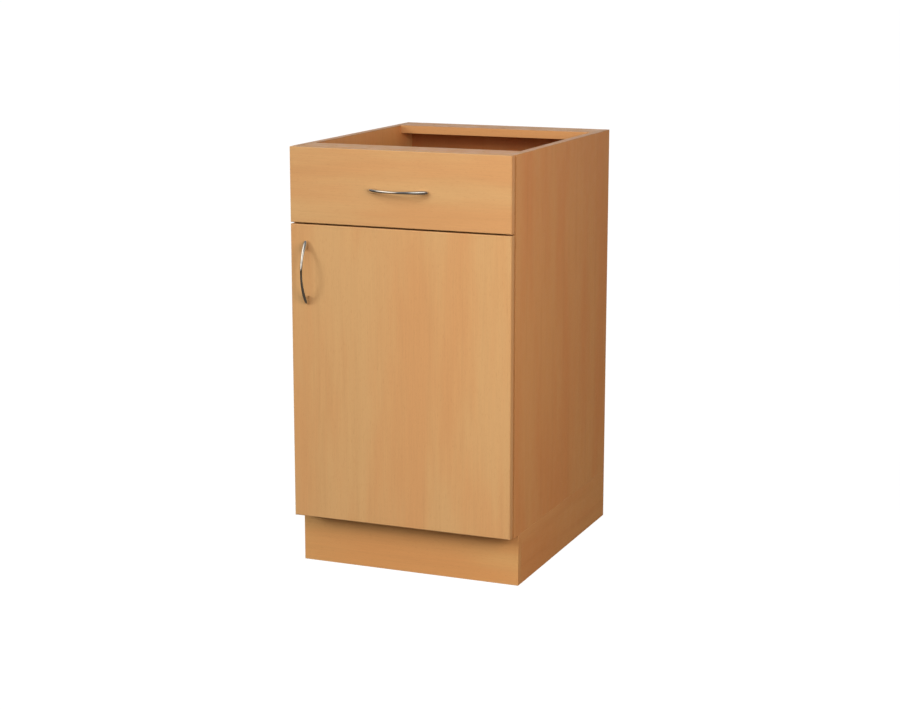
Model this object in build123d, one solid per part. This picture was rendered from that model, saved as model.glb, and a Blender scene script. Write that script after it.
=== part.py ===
"""Base cabinet with an open top, one drawer over one door, on a recessed plinth.

Frame: +Z up, the fronts face -Y, the origin is on the floor at the centre of the bounding box.
All sizes are in millimetres. Every piece is a separate solid or a group of like solids.
"""
from build123d import *
from math import cos, floor, pi
import os

# ---------------------------------------------------------------- driving sizes
width = 450.0                 # over the side panels
height = 820.0                # floor to the top of the side panels
depth = 560.0                 # outer face of the fronts to the back of the carcass
plinth_height = 100.0
board = 16.0                  # carcass and plinth chipboard
front_board = 16.0            # door and drawer front
front_gap = 2.5               # fronts to the carcass, the height of the buffers
side_reveal = 1.5             # fronts stop short of the carcass sides by this
split_gap = 3.0               # between drawer front and door
drawer_front_height = 143.0
door_bottom_reveal = 2.0      # door stops above the carcass underside
plinth_setback = 43.0         # plinth face behind the outer face of the fronts

band = 1.0                    # carcass edge band
front_band = 2.0              # edge band of door and drawer front
front_round = 1.8             # rounding of the fronts' long band edges

front_traverse_depth = 64.0
rear_traverse_depth = 76.0
worktop_hole_radius = 2.5
worktop_hole_inset = 60.0     # from the traverse ends

back_thickness = 3.0
back_inset = 12.0             # back face of the thin panel to the rear of the carcass
groove_depth = 8.0
groove_clearance = 0.1
groove_slack = 0.5            # thin panels stop short of the bottoms of their grooves

shelf_height = 372.0          # underside of the shelf above the floor
shelf_side_clearance = 1.0
shelf_front_setback = 22.0
shelf_back_clearance = 5.0
pin_radius = 2.5
pin_bore_depth = 11.0
pin_stub = 8.0
pin_row_front = 37.0          # hole rows from the front and rear carcass edges
pin_row_rear = 74.0
pin_pitch = 32.0
pin_steps = 3                 # holes above and below the shelf's own

# drawer box and runners
runner_space = 12.5           # side panel to drawer side
drawer_board = 12.0
drawer_side_height = 84.0
drawer_floor_lift = 10.0      # underside of the thin bottom above the sides' lower edge
drawer_groove = 6.0
runner_gauge = 1.2
runner_step = 50.0            # runners and drawer sides come in this step
runner_rear_air = 20.0        # least space between runner and back panel
runner_setback = 2.0          # runner's front end behind the carcass front
runner_lift = 13.0            # runner's lower edge above the drawer front's lower edge
roller_radius = 10.0
roller_air = 0.3
rivet_radius = 2.5
rivet_air = 0.05
roller_end = 14.0             # roller axis from the runner's end
roller_side_air = 1.9         # roller to the drawer member's web
rivet_head = 1.0
rivet_head_radius = 4.5
rivet_head_air = 0.2
rivet_clearance = 1.2         # rivet head to the cabinet member's web
member_front_air = 3.0        # drawer member behind the drawer front
member_overhang = 6.0         # drawer member beyond the drawer back
flange_air = 2.2              # drawer member's flange to the cabinet member's web
lip_width = 6.0
lip_air = 0.3
track_air = 0.8               # drawer member's web to the cabinet member's track
screw_end_front = 35.0        # runner screws from the members' ends
screw_end_rear = 40.0
runner_screw_length = 13.0

# handles
handle_centres = 96.0
handle_overhang = 14.0        # tip beyond each screw
handle_projection = 26.0
handle_waist = 4.8            # bar width at mid-length
handle_broad = 8.4            # bar width over the feet
handle_thickness = 4.6
handle_arch_power = 1.0        # 1 is a parabola, less is a squarer arch
handle_foot_length = 18.0
handle_foot_width = 6.4
door_handle_edge = 33.0       # foot line from the door's free edge
door_handle_top = 29.0        # top end of the handle below the door's top edge

# single-pivot cup hinges
cup_radius = 17.5
cup_bore_depth = 12.5
cup_wall = 1.0
cup_edge_tab = 3.0            # cup rim to the door's hinge edge
cup_flange_half = 27.0        # flange half-length along the door
cup_flange_inner = 1.5        # flange beyond the cup on the side away from the edge
cup_flange_outer = 7.0        # flange from the cup's centre towards the edge
cup_flange_corner = 5.0
cup_screw_line = 9.5          # screws from the cup's centre, away from the edge
cup_screw_reach = 22.5        # screws above and below the cup's centre
hinge_from_end = 100.0        # cup centre to the door's top or bottom edge
hinge_pin_radius = 1.2
hinge_eye_radius = 2.2
hinge_eye_width = 10.0
hinge_air = 0.3
pin_air = 0.05
strap = 1.8
arm_width = 17.0
arm_height = 9.0              # strap's outer face to the side panel
arm_length = 68.0
plate_line = 37.0             # mounting plate screws behind the carcass front
plate_screw_pitch = 32.0
arm_start = 4.0               # arm's broad part behind the carcass front
arm_cheek = 1.5
arm_cheek_start = 10.0
arm_cheek_air = 3.0           # cheek to the side panel
flange_gauge = 1.2
plate_gauge = 2.5
plate_half = 6.5
plate_wing_half = 22.0
plate_wing_width = 12.0
plate_rib_half = 5.5

# fasteners
cam_radius = 7.5
cam_depth = 12.5
cam_inset = 34.0
cam_line_front = 90.0         # bottom panel's cams behind the carcass front
cam_line_rear = 80.0          # and in front of its back
front_dowel_offset = 40.0     # bottom panel's front dowel behind its cam
rear_dowel_line = 24.0        # its rear dowel in front of the rear plinth board
traverse_offset = 16.0        # traverse's dowels to each side of its middle line
cam_bolt_radius = 3.0
cam_thread_radius = 2.5
cam_thread_length = 11.0
cam_bolt_neck = 6.0           # bolt stops short of the cam's axis
dowel_radius = 4.0
dowel_length = 30.0
small_screw = 1.75            # shank radii
large_screw = 2.0
small_head = 3.2
large_head = 4.0
buffer_radius = 4.0
buffer_inset = 14.0           # buffers from the fronts' ends

# plinth
plinth_block = 30.0
block_lift = 5.0              # blocks stop short of the floor
block_screw_start = 45.0      # seat of the plinth screws, up inside the blocks' wells
block_well_radius = 5.0

# ---------------------------------------------------------------- derived places
handle_length = handle_centres + 2 * handle_overhang
front_y = handle_projection - (depth + handle_projection) / 2
back_y = front_y + depth
front_inner_y = front_y + front_board
carcass_y = front_inner_y + front_gap
half = width / 2
inner = half - board
front_half = half - side_reveal
floor_top = plinth_height + board
drawer_front_z = height - drawer_front_height
door_z0 = plinth_height + door_bottom_reveal
door_z1 = drawer_front_z - split_gap
plinth_y = front_y + plinth_setback
back_panel_y1 = back_y - back_inset
back_panel_y0 = back_panel_y1 - back_thickness

runner_y0 = carcass_y + runner_setback
runner_length = floor((back_panel_y0 - runner_rear_air - runner_y0) / runner_step) * runner_step
runner_y1 = runner_y0 + runner_length
drawer_length = runner_length
roller_width = (runner_space - 2 * runner_gauge - roller_side_air
                - rivet_head_air - rivet_head - rivet_clearance)
drawer_half = inner - runner_space
drawer_inner = drawer_half - drawer_board
runner_z = drawer_front_z + runner_lift
channel_z = runner_z + runner_gauge
roller_z = channel_z + roller_air + roller_radius
slide_z = roller_z + roller_radius + roller_air
drawer_z = runner_z - 2.0
drawer_top = drawer_z + drawer_side_height
drawer_back_y = front_inner_y + drawer_length

cup_x = front_half - cup_edge_tab - cup_radius
cup_floor_y = front_inner_y - cup_bore_depth + cup_wall
pivot_y = cup_floor_y + hinge_eye_radius + hinge_air
cup_inner = cup_radius - cup_wall
eye_chord = (cup_inner ** 2 - (hinge_eye_width / 2) ** 2) ** 0.5
pivot_x = cup_x + eye_chord - hinge_eye_radius - hinge_air
hinge_levels = {"lower": door_z0 + hinge_from_end, "upper": door_z1 - hinge_from_end}

parts = {}


# ---------------------------------------------------------------- shared shapes
def block(x0, x1, y0, y1, z0, z1):
    """A box between two corners."""
    box = Box(x1 - x0, y1 - y0, z1 - z0, align=(Align.MIN, Align.MIN, Align.MIN))
    return Pos(x0, y0, z0) * box


def rod(start, direction, length, radius):
    """A cylinder from a start point along a direction."""
    plane = Plane(origin=start, z_dir=direction)
    return plane * Cylinder(radius, length, align=(Align.CENTER, Align.CENTER, Align.MIN))


def screw(head, direction, length, radius, head_radius, head_height):
    """A countersunk screw: its head's face is at the head point, its shank runs along direction."""
    plane = Plane(origin=head, z_dir=direction)
    cone = plane * Cone(head_radius, radius, head_height, align=(Align.CENTER, Align.CENTER, Align.MIN))
    return cone + rod(head, direction, length, radius)


def pan_screw(seat, direction, length, radius, head_radius, head_height):
    """A pan-head screw: the underside of its head is at the seat point."""
    away = tuple(-value for value in direction)
    return rod(seat, away, head_height, head_radius) + rod(seat, direction, length, radius)


def ring(start, direction, length, radius, bore):
    """A roller or bush: a cylinder with a through bore."""
    reach = 1.0
    back = tuple(s - reach * d for s, d in zip(start, direction))
    return rod(start, direction, length, radius) - rod(back, direction, length + 2 * reach, bore)


def mirrored(shape):
    """The same shape on the other side of the cabinet."""
    return mirror(shape, about=Plane.YZ)


def both_sides(shapes):
    """Each shape and its mirror image."""
    return list(shapes) + [mirrored(shape) for shape in shapes]


def cut(body, tools):
    """The body with every tool's shape taken out."""
    for tool in tools:
        body = body - tool
    return body


def touching(body, tools):
    """The tools whose bounding boxes reach into the body's."""
    box = body.bounding_box()
    found = []
    for tool in tools:
        other = tool.bounding_box()
        apart = (other.min.X > box.max.X or other.max.X < box.min.X
                 or other.min.Y > box.max.Y or other.max.Y < box.min.Y
                 or other.min.Z > box.max.Z or other.max.Z < box.min.Z)
        if not apart:
            found.append(tool)
    return found


def group(shapes):
    """Like pieces kept as separate solids in one node."""
    return Compound(children=[solid for shape in shapes for solid in shape.solids()])


# ---------------------------------------------------------------- carcass fasteners
def carcass_fittings():
    """Cam locks, their bolts and the dowels that join the flat boards to the side panels."""
    front_cam_y = carcass_y + cam_line_front
    lines = [
        (front_cam_y, plinth_height, front_cam_y + front_dowel_offset),
        (back_y - cam_line_rear, plinth_height, back_y - board - rear_dowel_line),
    ]
    for y0, y1 in ((carcass_y, carcass_y + front_traverse_depth), (back_y - rear_traverse_depth, back_y)):
        middle = (y0 + y1) / 2
        lines.append((middle, height - board, middle + traverse_offset))
        lines.append((None, height - board, middle - traverse_offset))
    cams = []
    bolts = []
    dowels = []
    for cam_y, under, dowel_y in lines:
        axis_z = under + board / 2
        if cam_y is not None:
            cams.append(rod((inner - cam_inset, cam_y, under), (0, 0, 1), cam_depth, cam_radius))
            shank = rod((inner, cam_y, axis_z), (-1, 0, 0), cam_inset - cam_bolt_neck, cam_bolt_radius)
            thread = rod((inner, cam_y, axis_z), (1, 0, 0), cam_thread_length, cam_thread_radius)
            bolts.append(shank + thread)
        dowels.append(rod((inner + cam_thread_length, dowel_y, axis_z), (-1, 0, 0), dowel_length, dowel_radius))
    cams = [cut(cam, bolts) for cam in cams]
    return both_sides(cams), both_sides(bolts), both_sides(dowels)


cams, bolts, dowels = carcass_fittings()
parts["cam_locks"] = group(cams)
parts["cam_bolts"] = group(bolts)
parts["carcass_dowels"] = group(dowels)


# ---------------------------------------------------------------- runners
def cabinet_runner():
    """Right cabinet member: a web on the side panel, a track below and a lip above."""
    lip_z = slide_z + 2 * runner_gauge + lip_air
    web = block(inner - runner_gauge, inner, runner_y0, runner_y1, runner_z, lip_z)
    track = block(drawer_half + runner_gauge + track_air, inner, runner_y0, runner_y1, runner_z, channel_z)
    lip = block(inner - lip_width, inner, runner_y0, runner_y1, lip_z - runner_gauge, lip_z)
    return web + track + lip


def drawer_runner():
    """Right drawer member: a shelf under the drawer side, a web beside it and a flange that rolls."""
    flange_tip = inner - runner_gauge - flange_air
    y0 = front_inner_y + member_front_air
    y1 = drawer_back_y + member_overhang
    web = block(drawer_half, drawer_half + runner_gauge, y0, y1, drawer_z - runner_gauge, slide_z + runner_gauge)
    shelf = block(drawer_inner, drawer_half, y0, y1, drawer_z - runner_gauge, drawer_z)
    flange = block(drawer_half + runner_gauge, flange_tip, y0, y1, slide_z, slide_z + runner_gauge)
    return web + shelf + flange, y1


roller_x0 = drawer_half + runner_gauge + roller_side_air
roller_x1 = roller_x0 + roller_width

cabinet_screws = []
for row in (runner_y0 + screw_end_front, (runner_y0 + runner_y1) / 2, runner_y1 - screw_end_rear):
    head = (inner - runner_gauge, row, roller_z)
    cabinet_screws.append(screw(head, (1, 0, 0), runner_screw_length, small_screw, small_head, runner_gauge))

front_roller_y = runner_y0 + roller_end
front_seat = (roller_x0 - rivet_head_air - rivet_head, front_roller_y, roller_z)
front_rivet = rod(front_seat, (1, 0, 0), inner - front_seat[0], rivet_radius)
front_rivet = front_rivet + rod(front_seat, (1, 0, 0), rivet_head, rivet_head_radius)
front_roller = ring((roller_x0, front_roller_y, roller_z), (1, 0, 0), roller_width,
                    roller_radius, rivet_radius + rivet_air)

drawer_member, drawer_member_y1 = drawer_runner()
rear_roller_y = drawer_member_y1 - roller_end
rear_head_x = roller_x1 + rivet_head_air
rear_rivet = rod((drawer_half, rear_roller_y, roller_z), (1, 0, 0), rear_head_x + rivet_head - drawer_half,
                 rivet_radius)
rear_rivet = rear_rivet + rod((rear_head_x, rear_roller_y, roller_z), (1, 0, 0), rivet_head, rivet_head_radius)
rear_roller = ring((roller_x0, rear_roller_y, roller_z), (1, 0, 0), roller_width,
                   roller_radius, rivet_radius + rivet_air)

cabinet_member = cut(cabinet_runner(), cabinet_screws + [front_rivet])
member_head = 1.6
member_bite = drawer_floor_lift - 0.5
drawer_member_screws = []
middle_y = (front_inner_y + drawer_back_y) / 2
for row in (front_inner_y + screw_end_front, middle_y, drawer_back_y - screw_end_rear):
    seat = (drawer_half - drawer_board / 2, row, drawer_z - runner_gauge)
    drawer_member_screws.append(pan_screw(seat, (0, 0, 1), member_bite, small_screw, small_head, member_head))
drawer_member = cut(drawer_member, drawer_member_screws + [rear_rivet])

for side, place in (("right", lambda shape: shape), ("left", mirrored)):
    parts["cabinet_runner_" + side] = place(cabinet_member)
    parts["drawer_runner_" + side] = place(drawer_member)
    parts["cabinet_roller_" + side] = place(front_roller)
    parts["drawer_roller_" + side] = place(rear_roller)
parts["cabinet_runner_screws"] = group(both_sides(cabinet_screws))
parts["drawer_runner_screws"] = group(both_sides(drawer_member_screws))
parts["cabinet_runner_rivets"] = group(both_sides([front_rivet]))
parts["drawer_runner_rivets"] = group(both_sides([rear_rivet]))


# ---------------------------------------------------------------- hinges
def hinge(level):
    """One single-pivot cup hinge: cup, pin, arm, mounting plate and its screws."""
    mouth = 1.0
    cup_back_y = front_inner_y - cup_bore_depth
    cup = rod((cup_x, cup_back_y, level), (0, 1, 0), cup_bore_depth, cup_radius)
    flange = block(cup_x - cup_radius - cup_flange_inner, cup_x + cup_flange_outer,
                   front_inner_y, front_inner_y + flange_gauge, level - cup_flange_half, level + cup_flange_half)
    flange = fillet(flange.edges().filter_by(Axis.Y), cup_flange_corner)
    cup = cup + flange
    cup = cup - rod((cup_x, cup_floor_y, level), (0, 1, 0), cup_bore_depth + mouth, cup_inner)
    cup_screw_length = 13.0
    cup_screws = []
    for side in (-1, 1):
        head = (cup_x - cup_screw_line, front_inner_y + flange_gauge, level + side * cup_screw_reach)
        cup_screws.append(screw(head, (0, -1, 0), cup_screw_length, small_screw, small_head, flange_gauge))
    cup = cut(cup, cup_screws)
    pin_half = ((cup_radius - cup_wall / 2) ** 2 - (pivot_x + hinge_pin_radius - cup_x) ** 2) ** 0.5
    pin = rod((pivot_x, pivot_y, level - pin_half), (0, 0, 1), 2 * pin_half, hinge_pin_radius)
    cup = cup - pin

    # gooseneck: the arm's strap runs out of the carcass, into the cup and round the pin
    web_x1 = inner - arm_height + strap
    web_x0 = web_x1 - strap
    arm_y1 = carcass_y + arm_length
    half_eye = hinge_eye_width / 2
    half_arm = arm_width / 2
    neck_y = pivot_y - strap / 2
    limb = block(web_x0, web_x1, neck_y, carcass_y + arm_cheek_start, level - half_eye, level + half_eye)
    tongue = block(web_x0, pivot_x, neck_y, neck_y + strap, level - half_eye, level + half_eye)
    eye = rod((pivot_x, pivot_y, level - half_eye), (0, 0, 1), hinge_eye_width, hinge_eye_radius)
    web = block(web_x0, web_x1, carcass_y + arm_start, arm_y1, level - half_arm, level + half_arm)
    arm = limb + tongue + eye + web
    corner = arm.edges().filter_by(Axis.Z).filter_by_position(Axis.X, web_x0 - 0.1, web_x0 + 0.1)
    corner = corner.filter_by_position(Axis.Y, neck_y - 0.1, neck_y + 0.1)
    arm = fillet(corner, strap * 0.9)
    for edge in (-half_arm, half_arm - arm_cheek):
        arm = arm + block(web_x0, inner - arm_cheek_air, carcass_y + arm_cheek_start, arm_y1,
                          level + edge, level + edge + arm_cheek)
    arm = arm - rod((pivot_x, pivot_y, level - half_arm), (0, 0, 1), arm_width, hinge_pin_radius + pin_air)

    # mounting plate with two wings on the system line
    plate_y = carcass_y + plate_line
    plate_x = inner - plate_gauge
    base = block(plate_x, inner, plate_y - 10.0, arm_y1 + 4.0, level - plate_half, level + plate_half)
    wings = block(plate_x, inner, plate_y - plate_wing_width / 2, plate_y + plate_wing_width / 2,
                  level - plate_wing_half, level + plate_wing_half)
    rib = block(web_x1, plate_x, plate_y - 8.0, arm_y1 - 2.0, level - plate_rib_half, level + plate_rib_half)
    plate = base + wings + rib
    plate_screw_length = 14.0
    plate_head_height = 2.2
    plate_screws = []
    for side in (-1, 1):
        head = (plate_x, plate_y, level + side * plate_screw_pitch / 2)
        plate_screws.append(screw(head, (1, 0, 0), plate_screw_length, large_screw, large_head, plate_head_height))
    plate = cut(plate, plate_screws)
    return cup, pin, arm, plate, cup_screws, plate_screws


cup_screws = []
plate_screws = []
cups = []
for name, level in hinge_levels.items():
    cup, pin, arm, plate, into_door, into_side = hinge(level)
    parts["hinge_cup_" + name] = cup
    parts["hinge_pin_" + name] = pin
    parts["hinge_arm_" + name] = arm
    parts["hinge_plate_" + name] = plate
    cups.append(rod((cup_x, front_inner_y - cup_bore_depth, level), (0, 1, 0), cup_bore_depth, cup_radius))
    cup_screws += into_door
    plate_screws += into_side
parts["hinge_cup_screws"] = group(cup_screws)
parts["hinge_plate_screws"] = group(plate_screws)


# ---------------------------------------------------------------- carcass boards
def shelf_pins():
    """Four steel pins that carry the shelf."""
    pins = []
    for y in (carcass_y + pin_row_front, back_y - pin_row_rear):
        end = (inner + pin_bore_depth, y, shelf_height - pin_radius)
        pins.append(rod(end, (-1, 0, 0), pin_bore_depth + pin_stub, pin_radius))
    return both_sides(pins)


def pin_holes():
    """The rows of holes in the right side panel."""
    holes = []
    for y in (carcass_y + pin_row_front, back_y - pin_row_rear):
        for step in range(-pin_steps, pin_steps + 1):
            z = shelf_height - pin_radius + step * pin_pitch
            holes.append(rod((inner - 1.0, y, z), (1, 0, 0), pin_bore_depth + 1.0, pin_radius))
    return holes


parts["shelf_pins"] = group(shelf_pins())
back_slot = block(-inner - groove_depth, inner + groove_depth, back_panel_y0 - groove_clearance,
                  back_panel_y1 + groove_clearance, floor_top - groove_depth, height - board + groove_depth)
panel_tongue = groove_depth - groove_slack
parts["back_panel"] = block(-inner - panel_tongue, inner + panel_tongue, back_panel_y0, back_panel_y1,
                            floor_top - panel_tongue, height - board + panel_tongue)

fittings = cams + bolts + dowels
side_panel = block(inner, half, carcass_y + band, back_y, plinth_height, height - band)
side_panel = cut(side_panel, pin_holes() + [back_slot])
side_tools = touching(side_panel, bolts + dowels + cabinet_screws + plate_screws)
parts["side_panel_right"] = cut(side_panel, side_tools)
parts["side_panel_left"] = mirrored(cut(side_panel, touching(side_panel, bolts + dowels + cabinet_screws)))

plinth_side_y0 = plinth_y + board
block_places = []
for x in (-inner + plinth_block / 2, inner - plinth_block / 2):
    for y in (plinth_side_y0 + plinth_block / 2, back_y - board - plinth_block / 2):
        block_places.append((x, y))
plinth_screw_length = 67.0
plinth_head = 3.0
plinth_screws = []
for x, y in block_places:
    seat = (x, y, block_screw_start)
    plinth_screws.append(pan_screw(seat, (0, 0, 1), plinth_screw_length, large_screw, large_head, plinth_head))
parts["plinth_screws"] = group(plinth_screws)

bottom = block(-inner, inner, carcass_y + band, back_y, plinth_height, floor_top) - back_slot
parts["bottom_panel"] = cut(bottom, touching(bottom, fittings + plinth_screws))


def traverse(y0, y1):
    """A flat top board between the side panels, banded in front, with two worktop holes."""
    body = block(-inner, inner, y0 + band, y1, height - board, height) - back_slot
    holes = []
    for x in (-inner + worktop_hole_inset, inner - worktop_hole_inset):
        holes.append(rod((x, (y0 + y1) / 2, height - board - 1.0), (0, 0, 1), board + 2.0, worktop_hole_radius))
    return cut(body, holes + touching(body, fittings))


front_traverse_y1 = carcass_y + front_traverse_depth
rear_traverse_y0 = back_y - rear_traverse_depth
parts["front_traverse"] = traverse(carcass_y, front_traverse_y1)
parts["rear_traverse"] = traverse(rear_traverse_y0, back_y)

bands = [
    block(-inner, inner, carcass_y, carcass_y + band, plinth_height, floor_top),
    block(-inner, inner, carcass_y, carcass_y + band, height - board, height),
    block(-inner, inner, rear_traverse_y0, rear_traverse_y0 + band, height - board, height),
]
bands += both_sides([
    block(inner, half, carcass_y, carcass_y + band, plinth_height, height - band),
    block(inner, half, carcass_y, back_y, height - band, height),
])
parts["carcass_edge_bands"] = group(bands)

shelf_x = inner - shelf_side_clearance
shelf_y0 = carcass_y + shelf_front_setback
shelf_y1 = back_panel_y0 - shelf_back_clearance
shelf_z1 = shelf_height + board
parts["shelf"] = block(-shelf_x, shelf_x, shelf_y0 + band, shelf_y1, shelf_height, shelf_z1)
parts["shelf_edge_band"] = block(-shelf_x, shelf_x, shelf_y0, shelf_y0 + band, shelf_height, shelf_z1)

# ---------------------------------------------------------------- plinth
parts["plinth_front"] = block(-half, half, plinth_y, plinth_side_y0, 0, plinth_height)
plinth_side = block(inner, half, plinth_side_y0, back_y, 0, plinth_height)
parts["plinth_side_right"] = plinth_side
parts["plinth_side_left"] = mirrored(plinth_side)
parts["plinth_rear"] = block(-inner, inner, back_y - board, back_y, 0, plinth_height)
corner_blocks = []
for x, y in block_places:
    reach = plinth_block / 2
    body = block(x - reach, x + reach, y - reach, y + reach, block_lift, plinth_height)
    well = rod((x, y, 0), (0, 0, 1), block_screw_start, block_well_radius)
    corner_blocks.append(cut(body, [well] + touching(body, plinth_screws)))
parts["plinth_corner_blocks"] = group(corner_blocks)


# ---------------------------------------------------------------- handles
def bow_line(along):
    """The bow's centreline at a share of its half-length: how far it stands off the front."""
    lowest = handle_thickness / 2
    highest = handle_projection - handle_thickness / 2
    return lowest + (highest - lowest) * (1 - along ** 2) ** handle_arch_power


def bow_handle():
    """A bow handle lying along X with its feet on the plane y = 0, bowing out to -Y.

    The bar is lofted through ellipses along an arch. It is narrow at the waist, broad over the
    feet and runs out to a small rounded tip at each end. A wedge under each end is its foot.
    """
    sections = 13
    tip_width = 3.4
    tip_share = 0.985
    half_length = handle_length / 2 - handle_thickness / 2
    faces = []
    for index in range(sections):
        along = -cos(pi * index / (sections - 1))
        ahead = min(1.0, along + 0.02)
        behind = max(-1.0, along - 0.02)
        run = (ahead - behind) * half_length
        rise = bow_line(ahead) - bow_line(behind)
        bar_width = handle_waist + (handle_broad - handle_waist) * abs(along) ** 1.5
        if abs(along) > tip_share:
            bar_width = tip_width
        plane = Plane(origin=(along * half_length, -bow_line(along), 0), x_dir=(0, 0, 1), z_dir=(run, -rise, 0))
        faces.append(plane * Ellipse(bar_width / 2, handle_thickness / 2))
    bar = loft(faces)
    foot_steps = 4
    inner_share = 1 - handle_foot_length / half_length
    outline = [(half_length * inner_share, 0)]
    for step in range(foot_steps + 1):
        along = inner_share + (1 - inner_share) * step / foot_steps
        outline.append((half_length * along, -bow_line(along)))
    outline.append((half_length, 0))
    foot = extrude(make_face(Polyline(outline, close=True)), handle_foot_width / 2, both=True)
    bar = bar + foot + mirrored(foot)
    wall = block(-handle_length, handle_length, 0, handle_length, -handle_length, handle_length)
    return bar - wall


def handle_screws(board_thickness, place):
    """Two machine screws from inside the front into the handle's feet."""
    length = board_thickness + 6.0
    found = []
    for side in (-1, 1):
        seat = (side * handle_centres / 2, board_thickness, 0)
        found.append(place * pan_screw(seat, (0, -1, 0), length, large_screw, large_head, 2.4))
    return found


handle = bow_handle()
drawer_handle_z = drawer_front_z + drawer_front_height * 0.48
drawer_handle_place = Pos(0, front_y, drawer_handle_z)
door_handle_x = -front_half + door_handle_edge
door_handle_z = door_z1 - door_handle_top - handle_length / 2
door_handle_place = Pos(door_handle_x, front_y, door_handle_z) * Rot(0, 90, 0)

door_handle_screws = handle_screws(front_board, door_handle_place)
drawer_handle_screws = handle_screws(front_board + drawer_board, drawer_handle_place)
parts["door_handle"] = cut(door_handle_place * handle, door_handle_screws)
parts["drawer_handle"] = cut(drawer_handle_place * handle, drawer_handle_screws)
parts["door_handle_screws"] = group(door_handle_screws)
parts["drawer_handle_screws"] = group(drawer_handle_screws)


# ---------------------------------------------------------------- fronts
def front_panel(z0, z1):
    """A front board and its four rounded edge bands."""
    core = block(-front_half + front_band, front_half - front_band, front_y, front_inner_y,
                 z0 + front_band, z1 - front_band)
    upright = block(front_half - front_band, front_half, front_y, front_inner_y, z0, z1)
    upright = fillet(upright.edges().filter_by(Axis.Z).group_by(Axis.X)[-1], front_round)
    level = block(-front_half + front_band, front_half - front_band, front_y, front_inner_y, z0, z0 + front_band)
    level = fillet(level.edges().filter_by(Axis.X).group_by(Axis.Z)[0], front_round)
    top = mirror(level, about=Plane.XY.offset((z0 + z1) / 2))
    return core, [upright, mirrored(upright), level, top]


door_core, door_bands = front_panel(door_z0, door_z1)
parts["door_panel"] = cut(door_core, cups + cup_screws + door_handle_screws)
parts["door_edge_bands"] = group([cut(strip, touching(strip, cups)) for strip in door_bands])

drawer_core, drawer_bands = front_panel(drawer_front_z, height)
parts["drawer_front_edge_bands"] = group(drawer_bands)

buffer_x = half - board / 2
door_buffers = []
for z in (door_z0 + buffer_inset, door_z1 - buffer_inset):
    door_buffers.append(rod((-buffer_x, front_inner_y, z), (0, 1, 0), front_gap, buffer_radius))
parts["door_buffers"] = group(door_buffers)
drawer_buffers = []
for x in (-buffer_x, buffer_x):
    start = (x, front_inner_y, drawer_front_z + buffer_inset)
    drawer_buffers.append(rod(start, (0, 1, 0), front_gap, buffer_radius))
parts["drawer_buffers"] = group(drawer_buffers)

# ---------------------------------------------------------------- drawer box
box_screws = []
for y in (front_inner_y + drawer_board / 2, drawer_back_y - drawer_board / 2):
    for z in (drawer_z + 30.0, drawer_z + 66.0):
        box_screws.append(screw((drawer_half, y, z), (-1, 0, 0), 38.0, large_screw, large_head, 2.4))
box_screws = both_sides(box_screws)
parts["drawer_box_screws"] = group(box_screws)

front_screws = []
for x in (-drawer_inner + 40.0, drawer_inner - 40.0):
    for z in (drawer_z + 22.0, drawer_z + 64.0):
        seat = (x, front_inner_y + drawer_board, z)
        front_screws.append(pan_screw(seat, (0, -1, 0), drawer_board + 11.0, large_screw, large_head, 2.0))
parts["drawer_front_screws"] = group(front_screws)
parts["drawer_front"] = cut(drawer_core, drawer_handle_screws + front_screws)

drawer_floor_z = drawer_z + drawer_floor_lift
drawer_slot = block(-drawer_inner - drawer_groove, drawer_inner + drawer_groove,
                    front_inner_y + drawer_board - drawer_groove, drawer_back_y - drawer_board + drawer_groove,
                    drawer_floor_z - groove_clearance, drawer_floor_z + back_thickness + groove_clearance)
drawer_side = block(drawer_inner, drawer_half, front_inner_y, drawer_back_y, drawer_z, drawer_top) - drawer_slot
drawer_side = cut(drawer_side, touching(drawer_side, box_screws + drawer_member_screws))
parts["drawer_side_right"] = drawer_side
parts["drawer_side_left"] = mirrored(drawer_side)
inner_front = block(-drawer_inner, drawer_inner, front_inner_y, front_inner_y + drawer_board, drawer_z, drawer_top)
inner_front = inner_front - drawer_slot
parts["drawer_inner_front"] = cut(inner_front, box_screws + front_screws + drawer_handle_screws)
drawer_back = block(-drawer_inner, drawer_inner, drawer_back_y - drawer_board, drawer_back_y, drawer_z, drawer_top)
drawer_back = drawer_back - drawer_slot
parts["drawer_back"] = cut(drawer_back, box_screws)
floor_tongue = drawer_groove - groove_slack
parts["drawer_bottom"] = block(-drawer_inner - floor_tongue, drawer_inner + floor_tongue,
                               front_inner_y + drawer_board - floor_tongue,
                               drawer_back_y - drawer_board + floor_tongue,
                               drawer_floor_z, drawer_floor_z + back_thickness)

# ---------------------------------------------------------------- output
os.makedirs("parts", exist_ok=True)
for name, shape in parts.items():
    export_step(shape, "parts/" + name + ".step")
    print(name, len(shape.solids()), round(shape.volume, 1))
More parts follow.
